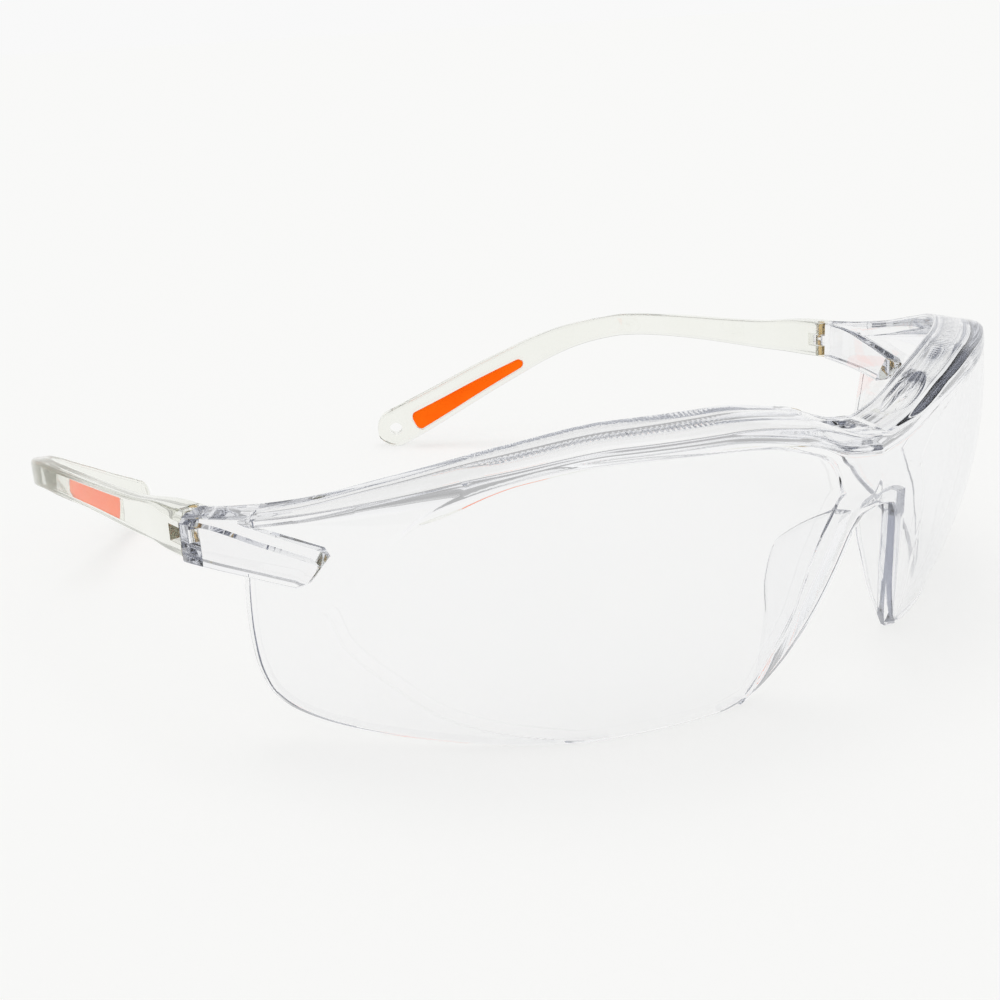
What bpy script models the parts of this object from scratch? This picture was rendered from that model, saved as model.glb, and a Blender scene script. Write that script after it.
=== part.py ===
"""Wrap-around safety glasses: a one-piece clear front and two folding temples.

Metres, +Z up. The glasses stand open as on a table: the front faces -Y, the
temples run back along +Y, and the object mirrors across the plane X = 0. Left and
right are the wearer's, so the left side is +X.
"""
import math

import bmesh
import bpy
import numpy as np
from mathutils import Matrix, Vector

MM = 0.001

# Front: a leaning barrel surface, measured by plan angle (0 at the nose) and height.
BARREL_RADIUS = 72.5 * MM      # outer face radius in plan
BARREL_CENTRE_Y = -3.9 * MM    # barrel axis at the height of the brow
BARREL_TOP_Z = 37.0 * MM
LEAN = 0.225                   # the axis moves back this much per unit of drop
BARREL_CURVE = 136.0 * MM      # radius of the vertical curve
BARREL_EQUATOR_Z = 22.0 * MM
LENS_BULGE = 3.0 * MM          # each lens stands out from the plain barrel
BULGE_ANGLE = 34.0             # plan angle at the middle of a lens, degrees
BULGE_SPAN = 36.0
BULGE_Z = 16.0 * MM
WALL = 2.3 * MM                # lens thickness
SHELF_THICK = 2.8 * MM         # brow shelf, top to underside
BROW_CROWN = 1.8 * MM          # the shelf's top rolls down this much to the outer face
FRONT_END_ANGLE = 79.5         # the wings run past the seam and are trimmed there

# Outlines of the front as (plan angle in degrees, millimetres).
TOP_LINE = ((0, 37.2), (5, 38.3), (12, 41.2), (22, 42.9), (33, 42.8), (45, 40.6),
            (56, 37.4), (66, 34.2), (74, 32.3), (80, 31.3))
BOTTOM_LINE = ((0, 25.6), (2.4, 25.2), (3.6, 23.4), (5, 18.6), (6.6, 13.4), (8.4, 9.0),
               (10.6, 4.9), (12.6, 2.2), (14.6, 0.7), (17, 0.0), (30, 0.0), (38, 0.5),
               (48, 1.7), (58, 3.1), (63, 4.5), (66.4, 6.9), (68.2, 10.8), (69.2, 16.0),
               (69.8, 22.0), (70.2, 28.0), (80, 28.6))
SHELF_DEPTH = ((0, 7.0), (8, 7.2), (20, 7.2), (42, 7.0), (56, 5.4), (66, 3.8), (80, 3.4))

# Scoops in the brow's top face, one at each side of the bridge.
SCOOP_ANGLE = 7.1
SCOOP_LENGTH = 12.0 * MM
SCOOP_WIDTH = 4.2 * MM
SCOOP_FLOOR = 1.6 * MM         # depth below the shelf's top

# Nose pads: thin flanges that run back from the nasal edges, as (height, reach) mm.
PAD_REACH = ((0.4, -0.8), (4, 0.6), (8, 2.6), (12, 4.3), (17, 6.4), (21, 7.0), (24, 4.8),
             (26.4, 1.4))
PAD_EDGE = ((0.4, 16.6), (4, 13.4), (8, 10.9), (12, 9.1), (17, 7.4), (21, 6.1), (26.4, 4.6))
PAD_THICK = 1.9 * MM
PAD_SPLAY = math.radians(20)   # the flanges open outwards towards the face

# Hinge: the temple's two ears hold brass stubs that turn in the front's tongue.
SEAM_Y = -16.7 * MM
HINGE_GAP = 0.3 * MM
KNUCKLE_RADIUS = 1.5 * MM
HINGE_X = 67.9 * MM
HINGE_Y = SEAM_Y + HINGE_GAP + KNUCKLE_RADIUS
HINGE_Z = 28.0 * MM
END_HEIGHT = 6.4 * MM          # height of the lug and of the temple at the seam
TONGUE_HEIGHT = 1.8 * MM
PIN_RADIUS = 0.6 * MM
PIN_BORE = 0.72 * MM
PIN_INSET = 0.1 * MM
PIN_SPACING = 0.6 * MM         # air between the two stubs

# Lugs: box sections at the ends of the front.
LUG_START_ANGLE = 60.6
LUG_END_RAKE = 2.0             # the lug's front end leans: degrees from top to bottom
LUG_PROUD = 0.5 * MM
LUG_DEPTH = 4.3 * MM
LUG_BOTTOM = ((60, 23.4), (70, 24.2), (80, 24.8))
LUG_TOP = ((60, 28.0), (68, 29.8), (75, 31.1), (80, 31.2))

# Temples, as (millimetres behind their front end, millimetres).
TEMPLE_START = SEAM_Y + HINGE_GAP
TEMPLE_PLAN = ((0, 68.6), (12.5, 68.3), (31.5, 67.5), (42.5, 66.7), (50, 65.6), (56.5, 63.6),
               (62, 60.8), (67, 57.1), (72, 52.3), (77, 46.6), (87, 33.8), (90.5, 29.4))
TEMPLE_RISE = ((0, 28.0), (6.5, 27.8), (16.5, 27.0), (31.5, 26.6), (42.5, 26.1), (50, 25.4),
               (56.5, 24.0), (62, 22.3), (67, 19.9), (72, 16.6), (77, 12.9), (82, 8.8),
               (86, 5.6), (88.3, 3.87), (90.5, 2.4))
TEMPLE_HALF_HEIGHT = ((0, 3.2), (5.5, 3.15), (16.5, 2.6), (30.5, 2.2), (42.5, 2.1), (56.5, 2.2),
                      (64.5, 2.6), (72, 3.1), (80, 3.6), (88, 4.0), (91, 4.0))
TEMPLE_HALF_WIDTH = ((0, 2.4), (4.5, 2.3), (8.5, 1.9), (13.5, 1.35), (20.5, 1.2), (36.5, 1.2),
                     (50, 1.35), (66, 1.55), (91, 1.6))
TIP_CENTRE = 88.3 * MM
TIP_RADIUS = 4.0 * MM
CORD_HOLE_RADIUS = 1.4 * MM

# Tip pads: tapered rubber inserts in the inner faces of the temples.
PAD_START = 70.4 * MM
PAD_END = 85.9 * MM
INSERT_NARROW = 0.9 * MM       # half-height at the front end, which is half round
INSERT_WIDE = 2.0 * MM         # half-height at the rear end
INSERT_CORNER = 1.2 * MM       # corner radius of the blunt rear end
INSERT_DROP = 0.8 * MM         # the pad lies this much below the temple's centre line
INSERT_DEPTH = 1.0 * MM
INSERT_PROUD = 0.25 * MM
INSERT_GAP = 0.25 * MM


# ---------------------------------------------------------------- helpers

def smooth_line(points, at):
    """Height of a smooth monotone-slope curve through points, at one place."""
    xs = np.array([p[0] for p in points], dtype=float)
    ys = np.array([p[1] for p in points], dtype=float)
    at = min(max(at, xs[0]), xs[-1])
    step = np.diff(xs)
    rise = np.diff(ys) / step
    slope = np.zeros(len(xs))
    slope[0] = rise[0]
    slope[-1] = rise[-1]
    for k in range(1, len(xs) - 1):
        if rise[k - 1] * rise[k] > 0:
            slope[k] = 2 * rise[k - 1] * rise[k] / (rise[k - 1] + rise[k])
    k = int(min(np.searchsorted(xs, at, side="right") - 1, len(xs) - 2))
    t = (at - xs[k]) / step[k]
    start = ys[k] * (1 + 2 * t) * (1 - t) ** 2 + slope[k] * step[k] * t * (1 - t) ** 2
    end = ys[k + 1] * t * t * (3 - 2 * t) + slope[k + 1] * step[k] * t * t * (t - 1)
    return start + end


def barrel_radius(angle, z):
    """Plan radius of the front's outer face."""
    sag = (z - BARREL_EQUATOR_Z) ** 2 / (2 * BARREL_CURVE)
    away = min(abs(abs(angle) - BULGE_ANGLE) / BULGE_SPAN, 1.0)
    height = max(0.0, 1 - ((z - BULGE_Z) / (28 * MM)) ** 2)
    return BARREL_RADIUS - sag + LENS_BULGE * math.cos(away * math.pi / 2) ** 2 * height


def front_point(angle, z, depth=0.0):
    """A point of the front, at a depth behind its outer face."""
    turn = math.radians(angle)
    centre = BARREL_CENTRE_Y + LEAN * (BARREL_TOP_Z - z)
    radius = barrel_radius(angle, z) - depth
    return Vector((radius * math.sin(turn), centre - radius * math.cos(turn), z))


def temple_frame(along):
    """Centre, outward, upward and backward directions of the left temple."""
    place = along / MM
    last = TEMPLE_RISE[-1][0]
    back = min(place + 0.5, last)
    front = min(place - 0.5, last - 1.0)
    run = Vector((smooth_line(TEMPLE_PLAN, back) - smooth_line(TEMPLE_PLAN, front),
                  back - front,
                  smooth_line(TEMPLE_RISE, back) - smooth_line(TEMPLE_RISE, front)))
    run.normalize()
    outward = run.cross(Vector((0, 0, 1))).normalized()
    upward = outward.cross(run)
    centre = Vector((smooth_line(TEMPLE_PLAN, place) * MM, TEMPLE_START + along,
                     smooth_line(TEMPLE_RISE, place) * MM))
    return centre, outward, upward, run


def temple_point(along, across, up, past=0.0):
    """A point off the left temple's centre line, moved past it along its run."""
    centre, outward, upward, run = temple_frame(along)
    return centre + outward * across + upward * up + run * past


def make_object(name, mesh, collection):
    obj = bpy.data.objects.new(name, mesh)
    collection.objects.link(obj)
    return obj


def loft(name, rings, collection):
    """Closed solid through rings that all have the same number of points."""
    form = bmesh.new()
    rows = [[form.verts.new(p) for p in ring] for ring in rings]
    count = len(rows[0])
    for one, two in zip(rows[:-1], rows[1:]):
        for k in range(count):
            after = (k + 1) % count
            form.faces.new((one[k], one[after], two[after], two[k]))
    form.faces.new(rows[0][::-1])
    form.faces.new(rows[-1])
    bmesh.ops.recalc_face_normals(form, faces=form.faces)
    mesh = bpy.data.meshes.new(name)
    form.to_mesh(mesh)
    form.free()
    return make_object(name, mesh, collection)


def prism(name, outline, low, high, collection):
    """Flat outline in plan, raised between two heights."""
    return loft(name, [[Vector((x, y, z)) for x, y in outline] for z in (low, high)],
                collection)


def cylinder(name, centre, radius, length, turn, segments, collection):
    form = bmesh.new()
    bmesh.ops.create_cone(form, cap_ends=True, segments=segments, radius1=radius,
                          radius2=radius, depth=length,
                          matrix=Matrix.Translation(centre) @ turn)
    mesh = bpy.data.meshes.new(name)
    form.to_mesh(mesh)
    form.free()
    return make_object(name, mesh, collection)


def combine(obj, tool, operation):
    """Exact boolean kept as a live modifier; the tool becomes a hidden cutter."""
    cut = obj.modifiers.new(operation.lower() + "_" + tool.name, "BOOLEAN")
    cut.operation = operation
    cut.solver = "EXACT"
    cut.object = tool
    tool.hide_render = True
    tool.display_type = "WIRE"


def mirror_copy(obj, name, collection):
    """The same piece on the other side of X = 0, as its own mesh."""
    mesh = obj.data.copy()
    mesh.transform(Matrix.Scale(-1, 4, Vector((1, 0, 0))))
    mesh.flip_normals()
    return make_object(name, mesh, collection)


def make_material(name, colour, roughness, metallic=0.0, transmission=0.0):
    material = bpy.data.materials.new(name)
    material.use_nodes = True
    shader = material.node_tree.nodes["Principled BSDF"]
    shader.inputs["Base Color"].default_value = (*colour, 1.0)
    shader.inputs["Roughness"].default_value = roughness
    shader.inputs["Metallic"].default_value = metallic
    shader.inputs["Transmission Weight"].default_value = transmission
    shader.inputs["IOR"].default_value = 1.58
    return material


def round_shading(obj, degrees=30):
    for face in obj.data.polygons:
        face.use_smooth = True
    obj.data.set_sharp_from_angle(angle=math.radians(degrees))


# ---------------------------------------------------------------- front

def front_ring(angle):
    """Section of lens and brow at one plan angle, as a closed ring."""
    side = abs(angle)
    top = smooth_line(TOP_LINE, side) * MM
    bottom = smooth_line(BOTTOM_LINE, side) * MM
    shelf = smooth_line(SHELF_DEPTH, side) * MM
    under = top - min(SHELF_THICK, 0.45 * (top - bottom))
    fillet = min(1.6 * MM, 0.4 * (under - bottom))
    ring = []
    crown = min(BROW_CROWN, 0.3 * (top - bottom))
    for k in range(7):
        ring.append((0.0, bottom + (top - crown - bottom) * k / 6))
    ring += [(0.05 * shelf, top - 0.6 * crown), (0.2 * shelf, top - 0.28 * crown)]
    ring += [(0.5 * shelf, top - 0.06 * crown), (shelf - 0.6 * MM, top)]
    ring += [(shelf, top - 0.6 * MM), (shelf, under + 0.5 * MM)]
    step = min(fillet, max(shelf - WALL - 0.2 * MM, 0.2 * MM))
    ring += [(max(shelf - 0.5 * MM, WALL + step), under)]
    ring += [(WALL + 0.3 * step, under - 0.3 * fillet)]
    for k in range(6):
        ring.append((WALL, (under - fillet) + (bottom - under + fillet) * k / 5))
    return [front_point(angle, z, depth) for depth, z in ring]


def front_angles():
    """Stations from wing to wing, closer where the outline turns."""
    half = [0.0, 1.2, 2.4, 3.0, 3.6, 4.3, 5.0, 5.8, 6.6, 7.5, 8.4, 9.5, 10.6, 11.6, 12.6, 13.4]
    half += [14.2, 17.0, 20.0, 23.0, 26.0, 29.0, 32.0, 35.0, 38.0, 41.5, 45.0, 48.0, 51.0]
    half += [54.0, 57.0, 60.0, 62.0, 64.0, 65.4, 66.6, 67.6, 68.3, 68.9, 69.3, 69.6, 69.9]
    half += [70.3, 72.0, 74.0, 76.0, 78.0, FRONT_END_ANGLE]
    return [-a for a in reversed(half[1:])] + half


def nose_pad(side, collection):
    """Thin flange behind one nasal edge."""
    rings = []
    low = PAD_EDGE[0][0]
    high = PAD_EDGE[-1][0]
    count = 16
    for k in range(count):
        height = low + (high - low) * k / (count - 1)
        edge = smooth_line(PAD_EDGE, height) * MM
        reach = smooth_line(PAD_REACH, height) * MM
        angle = math.degrees(math.asin(edge / BARREL_RADIUS))
        root = front_point(angle, height * MM, 0.9 * MM)
        back = Vector((math.sin(PAD_SPLAY), math.cos(PAD_SPLAY), 0))
        out = Vector((back.y, -back.x, 0)) * PAD_THICK
        tip = root + back * (reach + WALL)
        ring = [root, tip - back * 0.5 * MM, tip + out * 0.35, tip + out * 0.75,
                tip + out - back * 0.5 * MM, root + out]
        rings.append([Vector((side * p.x, p.y, p.z)) for p in ring])
    return loft("nose_pad_form", rings, collection)


def lug(side, collection):
    """Box section behind the seam, slightly proud of the wing's outer face."""
    rings = []
    for angle in (60.6, 61.2, 63.0, 66.0, 69.0, 72.0, 75.0, 80.0):
        low = smooth_line(LUG_BOTTOM, angle) * MM
        high = smooth_line(LUG_TOP, angle) * MM
        proud = -LUG_PROUD if angle > LUG_START_ANGLE else 0.2 * MM
        rake = LUG_END_RAKE * max(0.0, 1 - (angle - LUG_START_ANGLE) / 9)
        soft = 0.5 * MM
        ring = [(proud, low + soft), (proud, high - soft), (proud + soft, high),
                (LUG_DEPTH - soft, high), (LUG_DEPTH, high - soft), (LUG_DEPTH, low + soft),
                (LUG_DEPTH - soft, low), (proud + soft, low)]
        rings.append([front_point(side * (angle + rake * (high - z) / (high - low)), z, depth)
                      for depth, z in ring])
    return loft("lug_form", rings, collection)


def knuckle_outline(side, reach_back):
    """Plan outline of the tongue: straight sides, round about the hinge axis."""
    points = [(HINGE_X - KNUCKLE_RADIUS, SEAM_Y - reach_back)]
    for k in range(13):
        turn = math.pi - math.pi * k / 12
        points.append((HINGE_X + KNUCKLE_RADIUS * math.cos(turn),
                       HINGE_Y + KNUCKLE_RADIUS * math.sin(turn)))
    points.append((HINGE_X + KNUCKLE_RADIUS, SEAM_Y - reach_back))
    return [(side * x, y) for x, y in points]


def scoop(side, collection):
    """Elongated hollow that follows the shelf beside the bridge."""
    rings = []
    count = 9
    for k in range(count):
        t = -1 + 2 * k / (count - 1)
        angle = SCOOP_ANGLE + math.degrees(t * SCOOP_LENGTH / 2 / BARREL_RADIUS)
        half = SCOOP_WIDTH / 2 * math.sqrt(max(1 - t * t, 0.02))
        top = smooth_line(TOP_LINE, angle) * MM
        middle = smooth_line(SHELF_DEPTH, angle) * MM * 0.52
        floor = top - SCOOP_FLOOR * math.sqrt(max(1 - t * t, 0.02))
        ring = []
        for j in range(7):
            turn = math.pi * j / 6
            ring.append((middle + half * math.cos(turn),
                         top - (top - floor) * math.sin(turn)))
        ring += [(middle - half, top + 2 * MM), (middle + half, top + 2 * MM)]
        rings.append([front_point(side * angle, z, depth) for depth, z in ring])
    return loft("scoop_form", rings, collection)


def front_shield(collection, cutters):
    body = loft("front_shield", [front_ring(a) for a in front_angles()], collection)
    for side in (-1, 1):
        combine(body, lug(side, cutters), "UNION")
        combine(body, nose_pad(side, cutters), "UNION")
        combine(body, scoop(side, cutters), "DIFFERENCE")
    behind = SEAM_Y + 40 * MM
    wide = 100 * MM
    trim = prism("seam_trim", [(-wide, SEAM_Y), (wide, SEAM_Y), (wide, behind), (-wide, behind)],
                 -10 * MM, 60 * MM, cutters)
    combine(body, trim, "DIFFERENCE")
    for side in (-1, 1):
        tongue = prism("tongue_form", knuckle_outline(side, 3 * MM),
                       HINGE_Z - TONGUE_HEIGHT / 2, HINGE_Z + TONGUE_HEIGHT / 2, cutters)
        combine(body, tongue, "UNION")
        bore = cylinder("tongue_bore", Vector((side * HINGE_X, HINGE_Y, HINGE_Z)), PIN_BORE,
                        4 * MM, Matrix.Identity(4), 24, cutters)
        combine(body, bore, "DIFFERENCE")
    return body


# ---------------------------------------------------------------- temples

def temple_ring(along, past=0.0):
    """Rounded box section of the temple; past is the distance into the round tip."""
    place = along / MM
    half_height = smooth_line(TEMPLE_HALF_HEIGHT, place) * MM
    half_width = smooth_line(TEMPLE_HALF_WIDTH, place) * MM
    if past > 0:
        half_height = math.sqrt(TIP_RADIUS ** 2 - past ** 2)
    soft = min(0.8 * MM, 0.45 * half_width, 0.6 * half_height)
    ring = []
    for out, up in ((1, 1), (-1, 1), (-1, -1), (1, -1)):
        corner = (out * (half_width - soft), up * (half_height - soft))
        steps = (0, 1, 2) if out * up > 0 else (2, 1, 0)
        for k in steps:
            turn = math.pi / 4 * k
            ring.append((corner[0] + out * soft * math.cos(turn),
                         corner[1] + up * soft * math.sin(turn)))
    return [temple_point(along, across, up, past) for across, up in ring]


def temple_rings():
    places = [0, 1.5, 3.5, 5.5, 7.5, 9.5, 11.5, 13.5, 16.5, 20.5, 25.5, 31, 37, 43, 48, 52.5]
    places += [56.5, 60, 63, 66, 69, 72, 75, 78, 80.5, 83, 85, 86.8]
    rings = [temple_ring(place * MM) for place in places]
    for k in range(7):
        rings.append(temple_ring(TIP_CENTRE, TIP_RADIUS * math.sin(math.radians(13.2 * k))))
    return rings


def insert_ring(along, grow, past, depth_in, depth_out):
    """Section of the tip pad, or of its pocket when grown, on the inner face."""
    run = temple_frame(along)[3]
    t = (along - PAD_START) / (PAD_END - PAD_START)
    half = INSERT_NARROW + (INSERT_WIDE - INSERT_NARROW) * t
    for end, height, corner in ((PAD_START, INSERT_NARROW, INSERT_NARROW),
                                (PAD_END, INSERT_WIDE, INSERT_CORNER)):
        reach = corner - abs(along - end) / run.y
        if reach > 0:
            half = min(half, height - corner + math.sqrt(max(corner ** 2 - reach ** 2, 0.0)))
    half = max(half, 0.25 * MM) + grow
    inner = -smooth_line(TEMPLE_HALF_WIDTH, along / MM) * MM
    return [temple_point(along, inner + across, up - INSERT_DROP, past) for across, up in
            ((depth_in, half), (depth_in, -half), (-depth_out, -half), (-depth_out, half))]


def insert_form(name, grow, depth_in, depth_out, collection):
    """Tapered bar with round ends; grow swells its outline evenly."""
    narrow = INSERT_NARROW * temple_frame(PAD_START)[3].y
    corner = INSERT_CORNER * temple_frame(PAD_END)[3].y
    places = [PAD_START + narrow * (1 - math.cos(math.radians(30 * k))) for k in range(4)]
    count = 9
    first = places[-1]
    last = PAD_END - corner
    places += [first + (last - first) * k / (count - 1) for k in range(1, count)]
    places += [last + corner * math.sin(math.radians(18 * k)) for k in range(1, 6)]
    rings = []
    for place in places:
        past = 0.0
        if place == places[0]:
            past = -grow
        if place == places[-1]:
            past = grow
        rings.append(insert_ring(place, grow, past, depth_in, depth_out))
    return loft(name, rings, collection)


def corner_outline():
    """Plan region in front of the knuckle that the ears must leave free."""
    points = [(HINGE_X - 4 * MM, HINGE_Y), (HINGE_X - 4 * MM, SEAM_Y - 1 * MM),
              (HINGE_X, SEAM_Y - 1 * MM)]
    for k in range(9):
        turn = -math.pi / 2 - math.pi / 2 * k / 8
        points.append((HINGE_X + KNUCKLE_RADIUS * math.cos(turn),
                       HINGE_Y + KNUCKLE_RADIUS * math.sin(turn)))
    return points


def fork_slot_outline():
    back = HINGE_Y + KNUCKLE_RADIUS + HINGE_GAP
    inner = HINGE_X - 6 * MM
    outer = HINGE_X + 6 * MM
    return [(inner, SEAM_Y - 2 * MM), (outer, SEAM_Y - 2 * MM), (outer, back), (inner, back)]


def left_temple(collection, cutters):
    body = loft("temple_left", temple_rings(), collection)
    slot_half = TONGUE_HEIGHT / 2 + HINGE_GAP
    centre, outward = temple_frame(TIP_CENTRE)[:2]
    under_tip = [(centre.x + dx * MM, centre.y + dy * MM)
                 for dx, dy in ((-15, -15), (15, -15), (15, 15), (-15, 15))]
    across_tip = outward.to_track_quat("Z", "Y").to_matrix().to_4x4()
    tools = [prism("ear_corner", corner_outline(), HINGE_Z - 6 * MM, HINGE_Z + 6 * MM, cutters),
             prism("fork_slot", fork_slot_outline(), HINGE_Z - slot_half,
                   HINGE_Z + slot_half, cutters),
             cylinder("ear_bore", Vector((HINGE_X, HINGE_Y, HINGE_Z)), PIN_BORE, 10 * MM,
                      Matrix.Identity(4), 24, cutters),
             cylinder("cord_hole", centre, CORD_HOLE_RADIUS, 12 * MM, across_tip, 24, cutters),
             insert_form("pad_pocket", INSERT_GAP, INSERT_DEPTH + INSERT_GAP, 1.5 * MM, cutters),
             prism("floor_trim", under_tip, -15 * MM, 0.0, cutters)]
    for tool in tools:
        combine(body, tool, "DIFFERENCE")
    return body


def hinge_pin(name, low, high, collection):
    middle = Vector((HINGE_X, HINGE_Y, (low + high) / 2))
    return cylinder(name, middle, PIN_RADIUS, high - low, Matrix.Identity(4), 24, collection)


def hand_over(obj, mesh, axis):
    """Give the object a finished mesh with its origin on the hinge axis."""
    mesh.transform(Matrix.Translation(-axis))
    obj.modifiers.clear()
    obj.data = mesh
    obj.location = axis


def settle(obj):
    """Mesh of an object after its modifiers."""
    bpy.context.view_layer.update()
    seen = obj.evaluated_get(bpy.context.evaluated_depsgraph_get())
    return bpy.data.meshes.new_from_object(seen)


# ---------------------------------------------------------------- assembly

def build():
    for obj in list(bpy.data.objects):
        bpy.data.objects.remove(obj, do_unlink=True)
    scene = bpy.context.scene.collection
    parts = bpy.data.collections.new("safety_glasses")
    cutters = bpy.data.collections.new("cutters")
    scene.children.link(parts)
    scene.children.link(cutters)

    front = front_shield(parts, cutters)
    front.data.materials.append(make_material("front_clear", (0.93, 0.95, 0.96), 0.03,
                                              transmission=1.0))

    low = HINGE_Z - END_HEIGHT / 2 + PIN_INSET
    high = HINGE_Z + END_HEIGHT / 2 - PIN_INSET
    left = {
        "temple": left_temple(parts, cutters),
        "tip_pad": insert_form("tip_pad_left", 0.0, INSERT_DEPTH, INSERT_PROUD, parts),
        "hinge_pin_upper": hinge_pin("hinge_pin_upper_left", HINGE_Z + PIN_SPACING / 2, high,
                                     parts),
        "hinge_pin_lower": hinge_pin("hinge_pin_lower_left", low, HINGE_Z - PIN_SPACING / 2,
                                     parts),
    }
    looks = {
        "temple": ("temple_clear", (0.92, 0.93, 0.86), 0.05, 0.0, 1.0),
        "tip_pad": ("pad_orange", (0.95, 0.16, 0.01), 0.5, 0.0, 0.0),
        "hinge_pin_upper": ("pin_brass_upper", (0.72, 0.52, 0.22), 0.3, 1.0, 0.0),
        "hinge_pin_lower": ("pin_brass_lower", (0.72, 0.52, 0.22), 0.3, 1.0, 0.0),
    }
    for kind, obj in left.items():
        obj.data = settle(obj)
        obj.modifiers.clear()
        right = mirror_copy(obj, kind + "_right", parts)
        for piece, side in ((obj, 1), (right, -1)):
            hand_over(piece, piece.data, Vector((side * HINGE_X, HINGE_Y, HINGE_Z)))
            name, colour, rough, metal, clear = looks[kind]
            ending = "_left" if side > 0 else "_right"
            piece.data.materials.clear()
            piece.data.materials.append(make_material(name + ending, colour, rough, metal,
                                                      clear))
    for obj in parts.objects:
        round_shading(obj)


build()
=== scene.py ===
"""Looks of the clear wrap-around safety glasses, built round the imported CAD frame.

The front faces -Y, the temples run back along +Y and +Z is up. Sizes here are in
millimetres and degrees, and meshes are made in metres, as the frame is. The clear
mouldings, the tip pads and the hinge stubs each replace their CAD node with a finer
form of the same outline.
"""
import math

import bmesh
import bpy
import numpy as np
from mathutils import Matrix, Vector


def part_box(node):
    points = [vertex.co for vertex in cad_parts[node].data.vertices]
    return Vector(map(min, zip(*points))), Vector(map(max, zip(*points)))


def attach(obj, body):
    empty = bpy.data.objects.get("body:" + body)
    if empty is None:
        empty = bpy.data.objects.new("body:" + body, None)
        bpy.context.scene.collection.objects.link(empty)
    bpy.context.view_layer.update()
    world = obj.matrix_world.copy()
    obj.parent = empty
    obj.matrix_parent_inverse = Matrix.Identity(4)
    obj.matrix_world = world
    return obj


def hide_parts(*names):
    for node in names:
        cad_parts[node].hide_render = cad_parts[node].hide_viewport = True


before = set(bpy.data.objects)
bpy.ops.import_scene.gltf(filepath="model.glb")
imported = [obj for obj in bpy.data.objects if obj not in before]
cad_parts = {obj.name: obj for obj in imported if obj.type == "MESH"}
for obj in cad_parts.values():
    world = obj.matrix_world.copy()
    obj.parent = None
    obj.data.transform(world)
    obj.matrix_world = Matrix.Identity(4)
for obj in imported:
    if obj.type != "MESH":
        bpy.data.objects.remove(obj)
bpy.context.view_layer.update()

MM = 0.001

# Front: a leaning barrel surface, measured by plan angle (0 at the nose) and height.
# Outlines are (plan angle in degrees, millimetres), as in the CAD model.
BARREL_RADIUS = 72.5
BARREL_CENTRE_Y = -3.9
BARREL_TOP_Z = 37.0
LEAN = 0.225
BARREL_CURVE = 136.0
BARREL_EQUATOR_Z = 22.0
LENS_BULGE = 3.0
BULGE_ANGLE = 34.0
BULGE_SPAN = 36.0
BULGE_Z = 16.0
WALL = 2.3
EDGE_ROUND = 0.32
SHELF_THICK = 2.8
BROW_CROWN = 1.8
BROW_CORNER = 0.22             # share of the top face taken by its soft front corner
BROW_SHOULDER = 0.7            # share of the crown where that corner begins to turn
REAR_TOP_ROUND = 0.6
REAR_FOOT_ROUND = 0.45
FRONT_END_ANGLE = 79.5
TOP_LINE = ((0, 37.2), (5, 38.3), (12, 41.2), (22, 42.9), (33, 42.8), (45, 40.6),
            (56, 37.4), (66, 34.2), (74, 32.3), (80, 31.3))
BOTTOM_LINE = ((0, 25.6), (2.4, 25.2), (3.6, 23.4), (5, 18.6), (6.6, 13.4), (8.4, 9.0),
               (10.6, 4.9), (12.6, 2.2), (14.6, 0.7), (17, 0.0), (30, 0.0), (38, 0.5),
               (48, 1.7), (58, 3.1), (63, 4.5), (66.4, 6.9), (68.2, 10.8), (69.2, 16.0),
               (69.8, 22.0), (70.2, 28.0), (80, 28.6))
SHELF_DEPTH = ((0, 7.0), (8, 7.2), (20, 7.2), (42, 7.0), (56, 5.4), (66, 3.8), (80, 3.4))
COVE_HEIGHT = ((0, 1.6), (42, 1.6), (56, 6.0), (80, 6.0))

# Optical window: the area inside these two lines is set back from the brow and rim.
WINDOW_TOP = ((0, 29.5), (6.8, 29.6), (7.9, 32.3), (9.7, 35.0), (13.3, 37.0), (18, 38.6),
              (25, 39.3), (31, 39.6), (38, 39.4), (44, 38.0), (49, 35.7), (53, 32.0),
              (55.6, 27.0), (58, 23.5), (60.5, 20.5), (80, 20.4))
WINDOW_FOOT = ((0, 29.3), (6.8, 29.4), (8.6, 26.0), (10, 20.7), (10.8, 13.7), (12.7, 6.5),
               (14.1, 0.3), (17, -1.5), (30, -0.6), (35, 1.0), (41.6, 3.0), (47.5, 5.8),
               (52, 9.7), (58, 15.5), (60.5, 20.3), (80, 20.2))
WINDOW_START = 6.8             # plan angles of the window's nasal and outer corners
WINDOW_END = 60.5
WINDOW_STEP = 0.18
WINDOW_SLOPE = 0.6             # width of the step's slope

# Stations along the front: spacing in degrees by plan angle, closer where outlines turn.
STATION_PACE = ((0, 0.3), (5, 0.15), (11, 0.15), (14, 0.3), (18, 0.3), (20, 0.14), (56, 0.14),
                (57, 0.2), (64, 0.2), (67, 0.1), (70.6, 0.15), (72, 0.8),
                (FRONT_END_ANGLE, 0.8))

# Fine ribs across the underside of the brow above each lens, by plan angle.
RIB_START = 20.0
RIB_END = 56.0
RIB_FADE = 3.0
RIB_PITCH = 0.75
RIB_DEPTH = 0.16

# Scoops in the brow's top face, one at each side of the bridge.
SCOOP_ANGLE = 7.1
SCOOP_LENGTH = 12.0
SCOOP_WIDTH = 4.2
SCOOP_FLOOR = 1.6
SCOOP_PLACE = 0.52             # share of the shelf's depth

# Nose pads: flanges that run back from the nasal edges, as (height, reach).
PAD_REACH = ((0.4, -0.8), (4, 0.6), (8, 2.6), (12, 4.3), (17, 6.4), (21, 7.0), (24, 4.8),
             (26.4, 1.4))
PAD_EDGE = ((0.4, 16.6), (4, 13.4), (8, 10.9), (12, 9.1), (17, 7.4), (21, 6.1), (26.4, 4.6))
PAD_THICK = 1.9
PAD_SPLAY = math.radians(20)

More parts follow.
